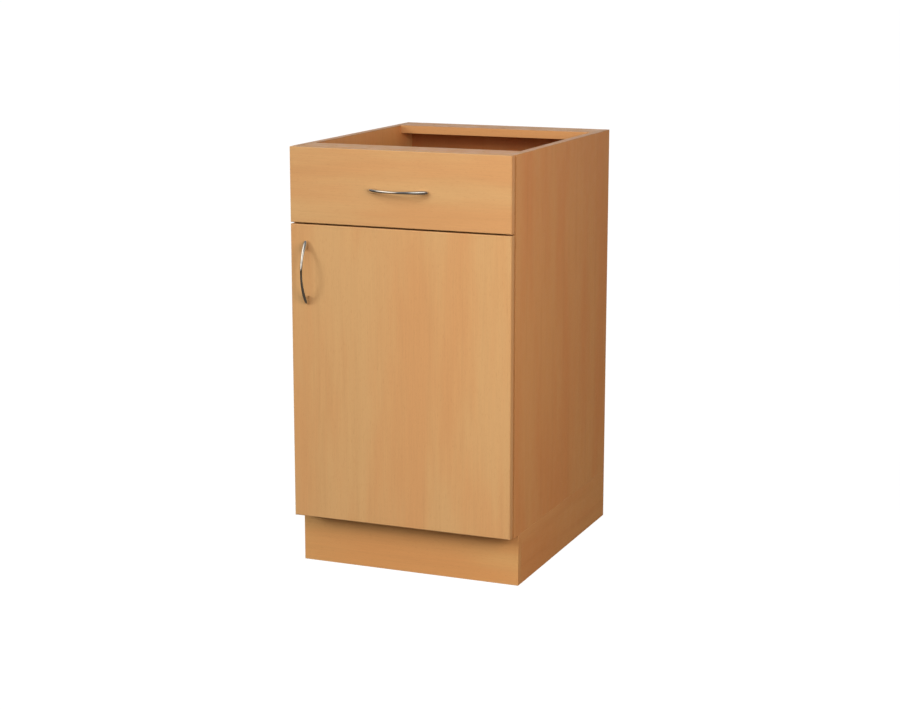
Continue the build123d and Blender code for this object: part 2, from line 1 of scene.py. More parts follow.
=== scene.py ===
"""Looks of the base cabinet: decor boards, edge bands, bow handles, runners, hinges and fasteners."""
import math
import bmesh
import bpy
import numpy as np
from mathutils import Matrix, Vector


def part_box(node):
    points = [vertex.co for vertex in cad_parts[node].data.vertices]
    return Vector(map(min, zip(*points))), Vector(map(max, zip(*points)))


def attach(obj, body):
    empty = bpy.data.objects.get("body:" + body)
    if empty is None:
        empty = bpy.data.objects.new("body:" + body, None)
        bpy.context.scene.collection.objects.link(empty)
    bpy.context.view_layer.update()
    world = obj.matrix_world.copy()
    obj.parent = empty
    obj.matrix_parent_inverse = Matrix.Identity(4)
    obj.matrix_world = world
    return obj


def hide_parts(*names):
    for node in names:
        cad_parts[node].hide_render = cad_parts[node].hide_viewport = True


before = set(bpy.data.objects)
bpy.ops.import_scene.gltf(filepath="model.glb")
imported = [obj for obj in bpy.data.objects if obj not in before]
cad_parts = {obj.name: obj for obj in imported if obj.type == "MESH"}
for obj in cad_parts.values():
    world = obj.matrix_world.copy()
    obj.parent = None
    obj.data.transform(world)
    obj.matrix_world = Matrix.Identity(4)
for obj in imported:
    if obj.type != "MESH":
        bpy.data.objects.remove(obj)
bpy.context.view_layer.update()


# ---------------------------------------------------------------- side panels, bottom, traverses, shelf
# The carcass boards are 16 mm chipboard faced on both sides with beech-decor melamine. They are
# sawn to size, so an edge that carries no band shows the raw chips. Cam fittings pull them together.
def linear(red, green, blue):
    """A display colour of 0 to 255 per channel as the linear colour that a shader takes."""
    share = np.array([red, green, blue]) / 255.0
    low, high = share / 12.92, ((share + 0.055) / 1.055) ** 2.4
    return (*np.where(share <= 0.04045, low, high), 1.0)


def add(tree, kind, inputs=None, **settings):
    """Adds one node, sets its properties, and links or sets each input that is named."""
    made = tree.nodes.new(kind)
    for name, value in settings.items():
        setattr(made, name, value)
    for name, value in (inputs or {}).items():
        if isinstance(value, bpy.types.NodeSocket):
            tree.links.new(value, made.inputs[name])
        else:
            made.inputs[name].default_value = value
    return made


def effect(name, takes, gives):
    """An empty shader group with its named sockets, its input node and its output node."""
    tree = bpy.data.node_groups.new(name, "ShaderNodeTree")
    for way, sockets in (("INPUT", takes), ("OUTPUT", gives)):
        for label, kind in sockets.items():
            tree.interface.new_socket(label, in_out=way, socket_type="NodeSocket" + kind)
    return tree, tree.nodes.new("NodeGroupInput").outputs, tree.nodes.new("NodeGroupOutput").inputs


def spread(tree, value, low, high, least=0.0, most=1.0):
    """The value moved smoothly from one range to another."""
    return add(tree, "ShaderNodeMapRange", {"Value": value, "From Min": low, "From Max": high,
                                            "To Min": least, "To Max": most},
               interpolation_type="SMOOTHSTEP").outputs["Result"]


def times(tree, first, second):
    """The product of two values."""
    return add(tree, "ShaderNodeMath", {0: first, 1: second}, operation="MULTIPLY").outputs[0]


def tint(tree, share, first, second):
    """The first colour, moved towards the second by the share."""
    made = add(tree, "ShaderNodeMix", data_type="RGBA")
    for socket, value in ((made.inputs[0], share), (made.inputs[6], first), (made.inputs[7], second)):
        if isinstance(value, bpy.types.NodeSocket):
            tree.links.new(value, socket)
        else:
            socket.default_value = value
    return made.outputs[2]


def noise(tree, vector, stretch, scale, detail, roughness=0.5):
    """Noise drawn out along the grain: the grain axis is multiplied by the stretch, under 1."""
    drawn = add(tree, "ShaderNodeVectorMath", {0: vector, 1: (1.0, 1.0, stretch)}, operation="MULTIPLY")
    return add(tree, "ShaderNodeTexNoise", {"Vector": drawn.outputs[0], "Scale": scale,
                                            "Detail": detail, "Roughness": roughness}).outputs["Fac"]


# Beech: broad blushes along the grain, narrower streaks, hair-fine fibres and short dark flecks.
beech, given, result = effect(
    "beech figure",
    {"Vector": "Vector", "Ground": "Color", "Blush": "Color", "Streak": "Color", "Figure": "Float"},
    {"Color": "Color", "Fleck": "Float"})
blush = spread(beech, noise(beech, given["Vector"], 0.15, 14.0, 4.0, 0.5), 0.38, 0.66)
colour = tint(beech, times(beech, blush, given["Figure"]), given["Ground"], given["Blush"])
streak = spread(beech, noise(beech, given["Vector"], 0.035, 62.0, 4.0, 0.6), 0.46, 0.78, 0.0, 0.26)
colour = tint(beech, times(beech, streak, given["Figure"]), colour, given["Streak"])
fibre = spread(beech, noise(beech, given["Vector"], 0.02, 480.0, 2.0), 0.30, 0.70, 0.982, 1.018)
colour = add(beech, "ShaderNodeHueSaturation", {"Value": fibre, "Color": colour}).outputs["Color"]
fleck = spread(beech, noise(beech, given["Vector"], 0.13, 950.0, 0.0), 0.67, 0.76)
colour = tint(beech, times(beech, fleck, 0.32), colour, given["Streak"])
beech.links.new(colour, result["Color"])
beech.links.new(fleck, result["Fleck"])

# Chipboard: pale chips of a few millimetres pressed flat, with darker resin between them.
chips, given, result = effect("chipboard", {"Vector": "Vector"}, {"Color": "Color", "Height": "Float"})
flakes = add(chips, "ShaderNodeTexVoronoi", {"Vector": given["Vector"], "Scale": 420.0})
dust = noise(chips, given["Vector"], 1.0, 900.0, 3.0, 0.65)
shade = add(chips, "ShaderNodeSeparateColor", {"Color": flakes.outputs["Color"]}).outputs[0]
colour = tint(chips, shade, linear(206, 170, 124), linear(158, 116, 76))
colour = tint(chips, spread(chips, dust, 0.52, 0.72, 0.0, 0.7), colour, linear(104, 72, 44))
chips.links.new(colour, result["Color"])
chips.links.new(dust, result["Height"])

FACING = {"X": 0, "Y": 1, "Z": 2}
TURN = {"X": (0.0, math.pi / 2, 0.0), "Y": (math.pi / 2, 0.0, 0.0), "Z": (0.0, 0.0, 0.0)}


def decor_board(name, grain, ground, blush, streak, figure=1.0, raw=None, place=(0.0, 0.0, 0.0)):
    """A faced board: beech figure along the grain axis, chips where the surface faces away from raw."""
    material = bpy.data.materials.new(name)
    material.use_nodes = True
    tree = material.node_tree
    shader = tree.nodes["Principled BSDF"]
    where = add(tree, "ShaderNodeTexCoord")
    turned = add(tree, "ShaderNodeMapping", {"Vector": where.outputs["Object"], "Rotation": TURN[grain],
                                             "Location": place})
    wood = add(tree, "ShaderNodeGroup", node_tree=beech)
    for label, value in (("Ground", ground), ("Blush", blush), ("Streak", streak), ("Figure", figure)):
        wood.inputs[label].default_value = value
    tree.links.new(turned.outputs[0], wood.inputs["Vector"])
    colour, height = wood.outputs["Color"], wood.outputs["Fleck"]
    rough = spread(tree, noise(tree, where.outputs["Object"], 1.0, 35.0, 3.0), 0.3, 0.7, 0.42, 0.52)
    if raw:
        normal = add(tree, "ShaderNodeSeparateXYZ", {"Vector": where.outputs["Normal"]})
        away = add(tree, "ShaderNodeMath", {0: normal.outputs[FACING[raw]]},
                   operation="ABSOLUTE").outputs[0]
        sawn = spread(tree, away, 0.75, 0.65)
        core = add(tree, "ShaderNodeGroup", {"Vector": where.outputs["Object"]}, node_tree=chips)
        colour = tint(tree, sawn, colour, core.outputs["Color"])
        rough = add(tree, "ShaderNodeMath", {0: rough, 1: times(tree, sawn, 0.45)},
                    operation="ADD").outputs[0]
        rise = times(tree, core.outputs["Height"], sawn)
        height = add(tree, "ShaderNodeMath", {0: rise, 1: times(tree, height, 0.25)},
                     operation="SUBTRACT").outputs[0]
    else:
        height = times(tree, height, -0.25)
    bump = add(tree, "ShaderNodeBump", {"Height": height, "Strength": 0.35, "Distance": 0.0003})
    tree.links.new(colour, shader.inputs["Base Color"])
    tree.links.new(rough, shader.inputs["Roughness"])
    tree.links.new(bump.outputs[0], shader.inputs["Normal"])
    shader.inputs["Specular IOR Level"].default_value = 0.3
    return material


MERGE_WITHIN = 2e-6
FLAT_WITHIN = math.radians(0.8)
SHARP_FROM = math.radians(35)


def softened(node, body, material, width, clamp=False):
    """A finer copy of a CAD piece. Its triangles are merged, its flat faces joined, and each sharp
    edge is carried round by the width, as a sawn, pressed or moulded edge is. A clamped edge round
    gives way where two of them would meet."""
    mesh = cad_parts[node].data.copy()
    shape = bmesh.new()
    shape.from_mesh(mesh)
    bmesh.ops.remove_doubles(shape, verts=shape.verts, dist=MERGE_WITHIN)
    bmesh.ops.dissolve_limit(shape, angle_limit=FLAT_WITHIN, verts=shape.verts, edges=shape.edges)
    for face in shape.faces:
        face.smooth = True
    for edge in shape.edges:
        edge.smooth = not edge.is_manifold or edge.calc_face_angle(0.0) < SHARP_FROM
    shape.to_mesh(mesh)
    shape.free()
    mesh.materials.clear()
    mesh.materials.append(material)
    piece = bpy.data.objects.new(node + "_finished", mesh)
    bpy.context.scene.collection.objects.link(piece)
    rounding = piece.modifiers.new("edge round", "BEVEL")
    rounding.width = width
    rounding.segments = 2
    rounding.limit_method = "ANGLE"
    rounding.angle_limit = SHARP_FROM
    rounding.use_clamp_overlap = clamp
    rounding.harden_normals = False
    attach(piece, body)
    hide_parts(node)


SAWN_EDGE = 0.0003
# These carcass tones are the beech decor shifted redder than the fronts' tones; the redder cast is
# painted shade for the sides and the inside of the carcass.
SIDE_TONES_REDDENED_AS_SHADE = (linear(211, 159, 102), linear(209, 149, 93), linear(188, 129, 76))
for name, place in (("side_panel_left", (0.3, 0.0, 0.0)), ("side_panel_right", (0.0, 0.0, 0.17))):
    softened(name, "carcass",
             decor_board("beech upright " + name, "Z", *SIDE_TONES_REDDENED_AS_SHADE, raw="X", place=place), SAWN_EDGE)
flat_board = decor_board("beech lying board", "X", *SIDE_TONES_REDDENED_AS_SHADE, raw="Z", place=(0.05, 0.0, 0.0))
for name in ("bottom_panel", "front_traverse", "rear_traverse", "shelf"):
    softened(name, "carcass", flat_board, SAWN_EDGE)

# ---------------------------------------------------------------- edge bands
# Every visible sawn edge of the carcass is closed with a thin plastic band in the same decor, glued
# on hot, trimmed flush and scraped to a small round. The fronts have a thicker band all round.
BAND_ROUND = 0.0002
BAND_TONES = (linear(200, 150, 98), linear(198, 143, 91), linear(182, 128, 77))
band_flat = decor_board("beech band lying", "X", *BAND_TONES, figure=0.7, place=(0.0, 0.4, 0.0))
softened("carcass_edge_bands", "carcass", band_flat, BAND_ROUND, clamp=True)
softened("shelf_edge_band", "carcass", band_flat, BAND_ROUND, clamp=True)

# ---------------------------------------------------------------- back panel and drawer bottom
# A 3 mm hardboard sheet slides in grooves in the boards round it. Its good face carries the beech
# decor. Its back is raw brown fibre with the mark of the press screen.
THIN_EDGE = 0.0002
# These tones are the beech decor made darker and redder than on the other boards; the difference is
# painted shade for the inside of the carcass.
THIN_TONES_DARKENED_AS_SHADE = (linear(186, 122, 72), linear(184, 114, 66), linear(162, 98, 54))


def thin_board(name, facing, grain):
    """Decor on the side that faces along the signed axis, brown fibre on the other."""
    material = decor_board(name, grain, *THIN_TONES_DARKENED_AS_SHADE)
    tree = material.node_tree
    shader = tree.nodes["Principled BSDF"]
    where = add(tree, "ShaderNodeTexCoord")
    normal = add(tree, "ShaderNodeSeparateXYZ", {"Vector": where.outputs["Normal"]})
    sign, axis = float(facing[0] + "1"), FACING[facing[1]]
    good = spread(tree, times(tree, normal.outputs[axis], sign), 0.2, 0.6)
    fuzz = noise(tree, where.outputs["Object"], 1.0, 700.0, 3.0, 0.7)
    fibre = tint(tree, fuzz, linear(150, 104, 66), linear(110, 72, 42))
    face = shader.inputs["Base Color"].links[0].from_socket
    tree.links.new(tint(tree, good, fibre, face), shader.inputs["Base Color"])
    return material


softened("back_panel", "carcass", thin_board("hardboard back", "-Y", "Z"), THIN_EDGE)

# ---------------------------------------------------------------- plinth
# Four decor boards on edge stand back under the carcass. The front board runs over the ends of the
# side boards. Softwood blocks in the corners take the screws up into the bottom panel.
PLANED_EDGE = 0.0006
PLINTH_TONES = (linear(209, 162, 105), linear(208, 151, 95), linear(184, 131, 78))
lying_plinth = decor_board("beech plinth across", "X", *PLINTH_TONES, figure=0.9,
                           place=(0.0, 0.0, 0.31))
# The plinth sides take the carcass tones, with their painted shade.
along_plinth = decor_board("beech plinth along", "Y", *SIDE_TONES_REDDENED_AS_SHADE, raw="X",
                           place=(0.0, 0.2, 0.0))
softened("plinth_front", "carcass", lying_plinth, PLANED_EDGE)
softened("plinth_rear", "carcass", lying_plinth, SAWN_EDGE)
for name in ("plinth_side_left", "plinth_side_right"):
    softened(name, "carcass", along_plinth, SAWN_EDGE)
softwood = decor_board("planed softwood", "Z", linear(222, 190, 142), linear(214, 176, 124),
                       linear(180, 136, 86), figure=1.2)
softened("plinth_corner_blocks", "carcass", softwood, PLANED_EDGE)


def finish_node(node, material):
    """Gives a CAD piece, shown as it is, its finish."""
    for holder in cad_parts[node].material_slots:
        holder.material = material


finish_node("carcass_dowels", softwood)

# ---------------------------------------------------------------- door and drawer front
# The fronts are 16 mm boards of the same decor, with the grain upright on the door and level on the
# drawer. A 2 mm band with rounded arrises closes all four edges.
FRONT_TONES = (linear(206, 165, 114), linear(205, 156, 105), linear(188, 141, 91))
FRONT_ROUND = 0.0001
DRAWER_FIGURE = (0.0, 0.0, 0.09)
door_face = decor_board("beech door", "Z", *FRONT_TONES, raw="Y")
drawer_face = decor_board("beech drawer front", "X", *FRONT_TONES, raw="Y", place=DRAWER_FIGURE)
softened("door_panel", "door", door_face, FRONT_ROUND)
softened("drawer_front", "drawer", drawer_face, FRONT_ROUND)
softened("door_edge_bands", "door",
         decor_board("beech door band", "Z", *FRONT_TONES, figure=0.8), FRONT_ROUND)
softened("drawer_front_edge_bands", "drawer",
         decor_board("beech drawer band", "X", *FRONT_TONES, figure=0.8, place=DRAWER_FIGURE),
         FRONT_ROUND)

# ---------------------------------------------------------------- drawer box
# Four 12 mm decor boards screwed through the sides, with a thin bottom let into a groove all round.
DRAWER_TONES = (linear(206, 156, 106), linear(202, 146, 98), linear(174, 120, 76))
box_side = decor_board("beech drawer side", "Y", *DRAWER_TONES, raw="X", place=(0.0, 0.1, 0.0))
box_end = decor_board("beech drawer end", "X", *DRAWER_TONES, raw="Y", place=(0.2, 0.1, 0.0))
for name, material in (("drawer_side_left", box_side), ("drawer_side_right", box_side),
                       ("drawer_inner_front", box_end), ("drawer_back", box_end)):
    softened(name, "drawer", material, SAWN_EDGE)
softened("drawer_bottom", "drawer",
         thin_board("hardboard drawer bottom", "+Z", "Y"), THIN_EDGE)

# ---------------------------------------------------------------- bow handles
# Each handle is one bow of die-cast zinc, polished and chromium plated. It is slim in the middle,
# broadens towards both ends, and runs out in a small tip over a solid foot that takes the screw.
HANDLE_LENGTH = 0.122
HANDLE_RISE = 0.026
HANDLE_THICK = 0.0046
HANDLE_WAIST = 0.0048
HANDLE_BROAD = 0.0084
FOOT_LENGTH = 0.018
FOOT_BLEND = 0.003
TIP_REACH = 0.985           # how far s goes towards each tip before the pole closes it

grime, given, result = effect("handling marks", {"Vector": "Vector", "Least": "Float", "Most": "Float"},
                              {"Roughness": "Float", "Height": "Float"})
smear = noise(grime, given["Vector"], 1.0, 240.0, 4.0, 0.6)
grime.links.new(add(grime, "ShaderNodeMapRange", {"Value": smear, "From Min": 0.35, "From Max": 0.75,
                                                  "To Min": given["Least"], "To Max": given["Most"]})
                .outputs["Result"], result["Roughness"])
grime.links.new(noise(grime, given["Vector"], 0.2, 1800.0, 2.0), result["Height"])


def metal(name, colour, least, most, bump, metallic=1.0):
    """A metal or coated finish whose gloss varies with handling between two roughness values."""
    material = bpy.data.materials.new(name)
    material.use_nodes = True
    tree = material.node_tree
    shader = tree.nodes["Principled BSDF"]
    shader.inputs["Metallic"].default_value = metallic
    where = add(tree, "ShaderNodeTexCoord").outputs["Object"]
    marks = add(tree, "ShaderNodeGroup", {"Vector": where}, node_tree=grime)
    marks.inputs["Least"].default_value = least
    marks.inputs["Most"].default_value = most
    dull = tuple(0.82 * channel for channel in colour[:3]) + (1.0,)
    patches = spread(tree, noise(tree, where, 1.0, 90.0, 3.0), 0.45, 0.75)
    tree.links.new(tint(tree, patches, colour, dull), shader.inputs["Base Color"])
    tree.links.new(marks.outputs["Roughness"], shader.inputs["Roughness"])
    relief = add(tree, "ShaderNodeBump", {"Height": marks.outputs["Height"], "Strength": bump,
                                          "Distance": 0.0001})
    tree.links.new(relief.outputs[0], shader.inputs["Normal"])
    return material


def surface(name, points, faces, material, body, replaced):
    """A new piece from an array of points and a list of faces, smooth shaded, riding on a body in
    place of a CAD piece."""
    mesh = bpy.data.meshes.new(name)
    mesh.from_pydata(points.tolist(), [], faces)
    mesh.polygons.foreach_set("use_smooth", np.ones(len(mesh.polygons), bool))
    mesh.materials.append(material)
    piece = bpy.data.objects.new(name, mesh)
    bpy.context.scene.collection.objects.link(piece)
    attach(piece, body)
    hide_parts(replaced)
    return piece


def tube_faces(rows, columns):
    """Quads of a closed tube, rows by columns of points, with a fan on a pole at each end. The two
    poles come after the grid's points."""
    index = np.arange(rows * columns).reshape(rows, columns)
    ahead = np.roll(index, -1, axis=1)
    quads = np.stack([index[:-1], index[1:], ahead[1:], ahead[:-1]], axis=-1)
    quads = quads.reshape(-1, 4).tolist()
    first, last = rows * columns, rows * columns + 1
    quads += np.stack([np.full(columns, first), index[0], ahead[0]], axis=-1).tolist()
    quads += np.stack([np.full(columns, last), ahead[-1], index[-1]], axis=-1).tolist()
    return quads


def bow(rows=161, columns=28):
    """Points of a bow handle that lies along X with its feet on y = 0 and rises to -Y.

    Along the bow, s runs almost from -1 to 1, and the share of the half-length is the sine of a
    quarter turn times s, so points crowd at the tips. The centreline stands off by a rise times
    (1 - share squared). Round it runs an ellipse, whose width grows from waist to broad with the
    share to the power 1.5 and closes at the tips with the root of one minus the share to the
    sixteenth. Over the foot the side towards the board is drawn down to y = 0.
    """
    half = HANDLE_LENGTH / 2
    share = np.sin(0.5 * math.pi * np.linspace(-TIP_REACH, TIP_REACH, rows))
    low, high = HANDLE_THICK / 2, HANDLE_RISE - HANDLE_THICK / 2
    rise = low + (high - low) * (1 - share ** 2)
    line = np.stack([share * half, -rise], axis=1)
    along = np.gradient(line, axis=0)
    along /= np.linalg.norm(along, axis=1, keepdims=True)
    out = np.stack([along[:, 1], -along[:, 0]], axis=1)
    close = np.sqrt(1 - np.abs(share) ** 16)
    wide = (HANDLE_WAIST + (HANDLE_BROAD - HANDLE_WAIST) * np.abs(share) ** 1.5) / 2 * close
    thick = HANDLE_THICK / 2 * (0.35 + 0.65 * close)
    turn = np.linspace(0, 2 * math.pi, columns, endpoint=False)
    reach = thick[:, None] * np.cos(turn)
    x = line[:, :1] + out[:, :1] * reach
    y = line[:, 1:] + out[:, 1:] * reach
    z = wide[:, None] * np.sin(turn)
    from_tip = half * (1 - np.abs(share))[:, None]
    foot = np.clip((FOOT_LENGTH - from_tip) / FOOT_BLEND, 0, 1)
    foot = foot * foot * (3 - 2 * foot)
    inner = np.clip(-np.cos(turn) * 3, 0, 1)[None, :]
    y = y * (1 - foot * inner)
    x = np.clip(x, -half, half)
    y = np.minimum(y, 0)
    grid = np.stack([x, y, z], axis=-1)
    ends = grid[[0, -1]].mean(axis=1)
    ends[:, 0] = (-half, half)
    return np.concatenate([grid.reshape(-1, 3), ends]), tube_faces(rows, columns)


chrome = metal("polished chromium", (0.86, 0.84, 0.80, 1.0), 0.06, 0.16, 0.02)
points, faces = bow()
low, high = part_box("drawer_handle")
middle = np.array((low + high) / 2)
surface("drawer_bow_handle", points + (middle[0], high.y, middle[2]), faces, chrome,
        "drawer", "drawer_handle")
low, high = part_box("door_handle")
middle = np.array((low + high) / 2)
upright = points[:, [2, 1, 0]] * (-1, 1, 1)
surface("door_bow_handle", upright + (middle[0], high.y, middle[2]), faces, chrome,
        "door", "door_handle")

# ---------------------------------------------------------------- screws
# Zinc-plated chipboard and machine screws with a cross recess. The countersunk ones lie flush in
# boards and pressed steel, the pan heads stand proud.
zinc = metal("bright zinc plate", (0.60, 0.60, 0.58, 1.0), 0.22, 0.42, 0.08)


def cross_screw(head, towards, radius, proud, shank, length, columns=32):
    """A screw from its head's seat. Rings run from the middle of the head to its rim, down a cone or
    a rim to the shank and along it. The head's height is a dome: proud times (1 - three quarters of
    the share to the power 2.5), and inside six tenths of the radius two crossed grooves sink by
    four tenths of the radius."""
    groove_depth, groove_reach, groove_half = 0.4 * radius, 0.6 * radius, 0.14 * radius
    turn = np.linspace(0, 2 * math.pi, columns, endpoint=False)
    share = np.array([0.0625, 0.125, 0.19, 0.25, 0.33, 0.42, 0.5, 0.56, 0.62, 0.75, 0.88, 0.96, 1.0])
    ring = share[:, None] * radius
    x, y = ring * np.cos(turn), ring * np.sin(turn)
    height = proud * (1 - 0.75 * share[:, None] ** 2.5) * np.ones_like(x)
    narrow = np.minimum(np.abs(x), np.abs(y)) < groove_half
    sunk = narrow & (ring < groove_reach)
    height = height - np.where(sunk, groove_depth, 0.0)
    neck = 0.00002 if proud else 0.55 * radius
    tail = [(radius, 0.0), (shank, -neck), (shank, -length)]
    rows = [np.stack([x, y, height], axis=-1)]
    for size, drop in tail:
        ring = np.stack([size * np.cos(turn), size * np.sin(turn), np.full(columns, drop)], axis=-1)
        rows.append(ring[None])
    grid = np.concatenate(rows)
    poles = np.array([[0, 0, proud - groove_depth], [0, 0, -length]])
    local = np.concatenate([grid.reshape(-1, 3), poles])
    axis = -np.array(towards, float)
    side = np.array([0.0, 0.0, 1.0]) if abs(axis[2]) < 0.5 else np.array([1.0, 0.0, 0.0])
    other = np.cross(axis, side)
    placed = np.array(head) + local[:, :1] * side + local[:, 1:2] * other + local[:, 2:] * axis
    flipped = [face[::-1] for face in tube_faces(len(grid), columns)]
    return placed, flipped


EDGE_SHADED = math.radians(38)


def shaded(piece, merge=0.0):
    """Turns all faces outward and shades each edge sharp that bends more than the limit. Points
    closer than the merge distance become one."""
    shape = bmesh.new()
    shape.from_mesh(piece.data)
    if merge:
        bmesh.ops.remove_doubles(shape, verts=shape.verts, dist=merge)
    bmesh.ops.recalc_face_normals(shape, faces=shape.faces)
    for edge in shape.edges:
        edge.smooth = not edge.is_manifold or edge.calc_face_angle(0.0) < EDGE_SHADED
    shape.to_mesh(piece.data)
    shape.free()


def screws(name, body, heads, radius, shank, length, proud=0.0):
    """All screws of one node as one piece. Each head is its seat point and its driving direction. A
    head that does not stand proud is countersunk."""
    all_points, all_faces, start = [], [], 0
    for seat, towards in heads:
        points, faces = cross_screw(seat, towards, radius, proud, shank, length)
        all_points.append(points)
        all_faces += [[start + corner for corner in face] for face in faces]
        start += len(points)
    shaded(surface(name + "_finished", np.concatenate(all_points), all_faces, zinc, body,
                   name))


def corners(node, axis, radius, seat):
    """The four seat points of screws that stand in a rectangle, from the node's box: the box is drawn
    in by the head's radius across the axis, and the seat is the coordinate along it."""
    low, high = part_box(node)
    across = [i for i in range(3) if i != axis]
    found = []
    for first in (low[across[0]] + radius, high[across[0]] - radius):
        for second in (low[across[1]] + radius, high[across[1]] - radius):
            point = [0.0, 0.0, 0.0]
            point[axis], point[across[0]], point[across[1]] = seat, first, second
            found.append(tuple(point))
    return found


FORWARD, UP = (0, -1, 0), (0, 0, 1)
SMALL_HEAD, SMALL_SHANK = 0.0032, 0.00175
LARGE_HEAD, LARGE_SHANK = 0.0040, 0.0020
PAN_HEAD, LOW_HEAD, RUNNER_HEAD, PLINTH_HEAD = 0.0024, 0.002, 0.0016, 0.003     # heights of the heads
RUNNER_SHEET = 0.0012
CUP_SCREW_REACH, PLATE_SCREW_REACH = 0.0225, 0.016      # up and down from the hinge's middle

box_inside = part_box("drawer_inner_front")[1].y
seats = corners("drawer_front_screws", 1, LARGE_HEAD, box_inside)
screws("drawer_front_screws", "drawer", [(seat, FORWARD) for seat in seats],
       LARGE_HEAD, LARGE_SHANK, length=0.02, proud=LOW_HEAD)
low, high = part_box("drawer_handle_screws")
middle = (low.z + high.z) / 2
screws("drawer_handle_screws", "drawer",
       [((x, box_inside, middle), FORWARD) for x in (low.x + LARGE_HEAD, high.x - LARGE_HEAD)],
       LARGE_HEAD, LARGE_SHANK, length=0.03, proud=PAN_HEAD)
low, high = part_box("door_handle_screws")
door_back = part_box("door_panel")[1].y
middle = (low.x + high.x) / 2
screws("door_handle_screws", "door",
       [((middle, door_back, z), FORWARD) for z in (low.z + LARGE_HEAD, high.z - LARGE_HEAD)],
       LARGE_HEAD, LARGE_SHANK, length=0.02, proud=PAN_HEAD)
low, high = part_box("drawer_box_screws")
heads = []
for side, seat in ((1, high.x), (-1, low.x)):
    heads += [(point, (-side, 0, 0)) for point in corners("drawer_box_screws", 0, LARGE_HEAD, seat)]
screws("drawer_box_screws", "drawer", heads, LARGE_HEAD, LARGE_SHANK, length=0.036)
low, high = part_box("cabinet_runner_screws")
middle = (low.z + high.z) / 2
runner_low, runner_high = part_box("cabinet_runner_right")
rows = (low.y + SMALL_HEAD, (runner_low.y + runner_high.y) / 2, high.y - SMALL_HEAD)
web_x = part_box("side_panel_right")[0].x - RUNNER_SHEET
screws("cabinet_runner_screws", "carcass",
       [((side * web_x, y, middle), (side, 0, 0)) for side in (-1, 1) for y in rows],
       SMALL_HEAD, SMALL_SHANK, length=0.012)
low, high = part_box("drawer_runner_screws")
drawer_low, drawer_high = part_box("drawer_side_right")
rows = (low.y + SMALL_HEAD, (drawer_low.y + drawer_high.y) / 2, high.y - SMALL_HEAD)
screws("drawer_runner_screws", "drawer",
       [((x, y, low.z + RUNNER_HEAD), UP)
        for x in (low.x + SMALL_HEAD, high.x - SMALL_HEAD) for y in rows],
       SMALL_HEAD, SMALL_SHANK, length=0.009, proud=RUNNER_HEAD)
seats = corners("plinth_screws", 2, LARGE_HEAD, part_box("plinth_screws")[0].z + PLINTH_HEAD)
screws("plinth_screws", "carcass", [(seat, UP) for seat in seats],
       LARGE_HEAD, LARGE_SHANK, length=0.065, proud=PLINTH_HEAD)
low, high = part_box("hinge_cup_screws")
column = (low.x + high.x) / 2
plate_low, plate_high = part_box("hinge_plate_screws")
plate_y = (plate_low.y + plate_high.y) / 2
cup_heads, plate_heads = [], []
for level in ("lower", "upper"):
    cup_low, cup_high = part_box("hinge_cup_" + level)
    middle = (cup_low.z + cup_high.z) / 2
    for way in (-1, 1):
        cup_heads.append(((column, cup_high.y, middle + way * CUP_SCREW_REACH), FORWARD))
        plate_heads.append(((plate_low.x, plate_y, middle + way * PLATE_SCREW_REACH), (1, 0, 0)))
screws("hinge_cup_screws", "door", cup_heads, SMALL_HEAD, SMALL_SHANK, length=0.012)
screws("hinge_plate_screws", "carcass", plate_heads, LARGE_HEAD, LARGE_SHANK, length=0.013)

# ---------------------------------------------------------------- hinges
# Each hinge is a pressed cup sunk into the door, a pin through the cup, and a gooseneck arm that
# runs back to a plate on the side panel. All of it is steel with a satin nickel plate.
nickel = metal("satin nickel plate", (0.66, 0.64, 0.60, 1.0), 0.24, 0.40, 0.06)
for level in ("lower", "upper"):
    softened("hinge_cup_" + level, "door", nickel, 0.0002)
    softened("hinge_arm_" + level, "carcass", nickel, 0.0003)
    softened("hinge_plate_" + level, "carcass", nickel, 0.0004)
    finish_node("hinge_pin_" + level, nickel)
softened("shelf_pins", "carcass", nickel, 0.0004)
softened("cam_locks", "carcass", zinc, 0.0004)
finish_node("cam_bolts", zinc)

# ---------------------------------------------------------------- runners and rollers
# The drawer hangs on pressed steel members with a white powder coat. A nylon roller turns on a
# rivet at the front of each cabinet member and at the rear of each drawer member.
coat = metal("white powder coat", (0.78, 0.77, 0.73, 1.0), 0.34, 0.50, 0.25, metallic=0.0)
nylon = metal("white nylon", (0.80, 0.79, 0.74, 1.0), 0.30, 0.45, 0.10, metallic=0.0)
for side in ("left", "right"):
    softened("cabinet_runner_" + side, "carcass", coat, 0.0003)
    softened("drawer_runner_" + side, "drawer", coat, 0.0003)
softened("cabinet_runner_rivets", "carcass", zinc, 0.0003)
softened("drawer_runner_rivets", "drawer", zinc, 0.0003)

ROLLER_BORE = 0.00255          # radius
ROLLER_ROUND = 0.0008


